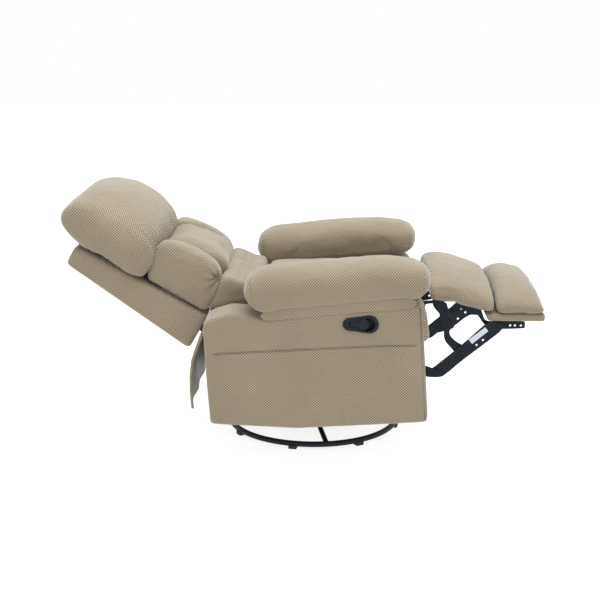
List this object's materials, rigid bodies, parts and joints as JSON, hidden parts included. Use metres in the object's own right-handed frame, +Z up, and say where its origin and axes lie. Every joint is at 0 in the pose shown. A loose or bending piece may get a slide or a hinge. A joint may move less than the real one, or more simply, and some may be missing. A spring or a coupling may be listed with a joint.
{
  "type": "glider nursery chair",
  "caption": "Upholstered swivel glider recliner on a round ring base, with a folding footrest, reclining back, arm pillows and a side release handle.",
  "frame": {"origin": "on the floor under the middle of the reclined chair's outer box", "axes": "+Z up; the sitter faces -Y; the sitter's right, with the release handle, is -X; +Y runs from the footrest to the head end"},
  "size_m": [0.89, 1.5523, 0.8232],
  "materials": {
    "upholstery": "chunky basket-weave polyester in warm taupe",
    "skirt_cloth": "the same weave, with a smooth grey lining inside",
    "steel": "black satin powder coat",
    "frame_wood": "plain plywood",
    "handle_plastic": "dark slate moulded plastic, satin",
    "rubber": "black moulded rubber"
  },
  "bodies": {
    "base": {"base_ring": "steel", "base_cross": "steel", "swivel_lower_plate": "steel", "kingpin": "steel", "foot_pad_1": "rubber", "foot_pad_2": "rubber", "foot_pad_3": "rubber", "foot_pad_4": "rubber", "foot_pad_5": "rubber", "foot_pad_6": "rubber", "foot_pad_7": "rubber", "foot_pad_8": "rubber"},
    "turntable": {"swivel_bearing": "steel", "swivel_upper_plate": "steel", "glider_platform": "steel", "glider_post_left": "steel", "glider_post_right": "steel"},
    "front_swing_links": {"front_swing_link_left": "steel", "front_swing_link_right": "steel"},
    "rear_swing_links": {"rear_swing_link_left": "steel", "rear_swing_link_right": "steel"},
    "seat": {"glide_rail_left": "steel", "glide_rail_right": "steel", "side_panel_left": "upholstery", "side_panel_right": "upholstery", "arm_pad_left": "upholstery", "arm_pad_right": "upholstery", "front_rail": "frame_wood", "rear_rail": "frame_wood", "seat_deck": "frame_wood", "seat_cushion": "upholstery", "mechanism_tube_front": "steel", "mechanism_tube_rear": "steel", "rear_skirt": "skirt_cloth", "handle_bezel": "handle_plastic", "mechanism_plate_left": "steel", "mechanism_plate_right": "steel"},
    "front_ottoman_links": {"front_ottoman_link_left": "steel", "front_ottoman_link_right": "steel", "torque_tube": "steel"},
    "rear_ottoman_links": {"rear_ottoman_link_left": "steel", "rear_ottoman_link_right": "steel"},
    "long_links": {"long_link_left": "steel", "long_link_right": "steel"},
    "upper_ottoman_links": {"upper_ottoman_link_left": "steel", "upper_ottoman_link_right": "steel"},
    "ottoman": {"ottoman_bracket_left": "steel", "ottoman_bracket_right": "steel", "ottoman_board": "upholstery", "ottoman_pad": "upholstery"},
    "bridge": {"bridge_board": "frame_wood", "bridge_pad": "upholstery"},
    "back": {"back_frame": "upholstery", "lumbar_pad": "upholstery", "head_pillow": "upholstery", "back_lever_left": "steel", "back_lever_right": "steel", "wing_bolster_left": "upholstery", "wing_bolster_right": "upholstery"},
    "handle": {"release_handle": "handle_plastic"}
  },
  "joints": [
    {"name": "swivel", "type": "hinge", "parent": "base", "child": "turntable", "pos_m": [0, -0.025, 0], "axis": [0, 0, 1], "continuous": true},
    {"name": "glide", "type": "hinge", "parent": "turntable", "child": "front_swing_links", "pos_m": [0, -0.115, 0.2], "axis": [1, 0, 0], "range_deg": [-12, 12]},
    {"name": "glide_rear_links", "type": "hinge", "parent": "turntable", "child": "rear_swing_links", "pos_m": [0, 0.065, 0.2], "axis": [1, 0, 0], "range_deg": [-12, 12]},
    {"name": "glide_seat_level", "type": "hinge", "parent": "front_swing_links", "child": "seat", "pos_m": [0, -0.115, 0.09], "axis": [1, 0, 0], "range_deg": [-12, 12]},
    {"name": "footrest", "type": "hinge", "parent": "seat", "child": "front_ottoman_links", "pos_m": [0, -0.376, 0.477], "axis": [1, 0, 0], "range_deg": [0, 87.1]},
    {"name": "footrest_rear_links", "type": "hinge", "parent": "seat", "child": "rear_ottoman_links", "pos_m": [0, -0.325, 0.418], "axis": [1, 0, 0], "range_deg": [0, 108.2]},
    {"name": "footrest_long_links", "type": "hinge", "parent": "front_ottoman_links", "child": "long_links", "pos_m": [0, -0.512, 0.314], "axis": [1, 0, 0], "range_deg": [-27, 0]},
    {"name": "footrest_upper_links", "type": "hinge", "parent": "front_ottoman_links", "child": "upper_ottoman_links", "pos_m": [0, -0.469, 0.398], "axis": [1, 0, 0], "range_deg": [-37.4, 0]},
    {"name": "footrest_ottoman", "type": "hinge", "parent": "long_links", "child": "ottoman", "pos_m": [0, -0.625, 0.407], "axis": [1, 0, 0], "range_deg": [0, 31]},
    {"name": "footrest_bridge", "type": "hinge", "parent": "seat", "child": "bridge", "pos_m": [0, -0.409, 0.498], "axis": [1, 0, 0], "range_deg": [0, 79.3]},
    {"name": "back_recline", "type": "hinge", "parent": "seat", "child": "back", "pos_m": [0, 0.245, 0.4], "axis": [1, 0, 0], "range_deg": [0, 40]},
    {"name": "release_handle_pull", "type": "hinge", "parent": "seat", "child": "handle", "pos_m": [-0.421, -0.147, 0.458], "axis": [0, 0, -1], "range_deg": [0, 30], "stiffness_Nm_per_rad": 0.4}
  ],
  "couplings": [
    {"joint": "glide_rear_links", "follows": "glide", "ratio": 1},
    {"joint": "glide_seat_level", "follows": "glide", "ratio": -1},
    {"joint": "footrest_rear_links", "follows": "footrest", "ratio": 1.2411},
    {"joint": "footrest_long_links", "follows": "footrest", "ratio": -0.30884},
    {"joint": "footrest_upper_links", "follows": "footrest", "ratio": -0.42824},
    {"joint": "footrest_ottoman", "follows": "footrest", "ratio": 0.35476},
    {"joint": "footrest_bridge", "follows": "footrest", "ratio": 0.9093}
  ]
}
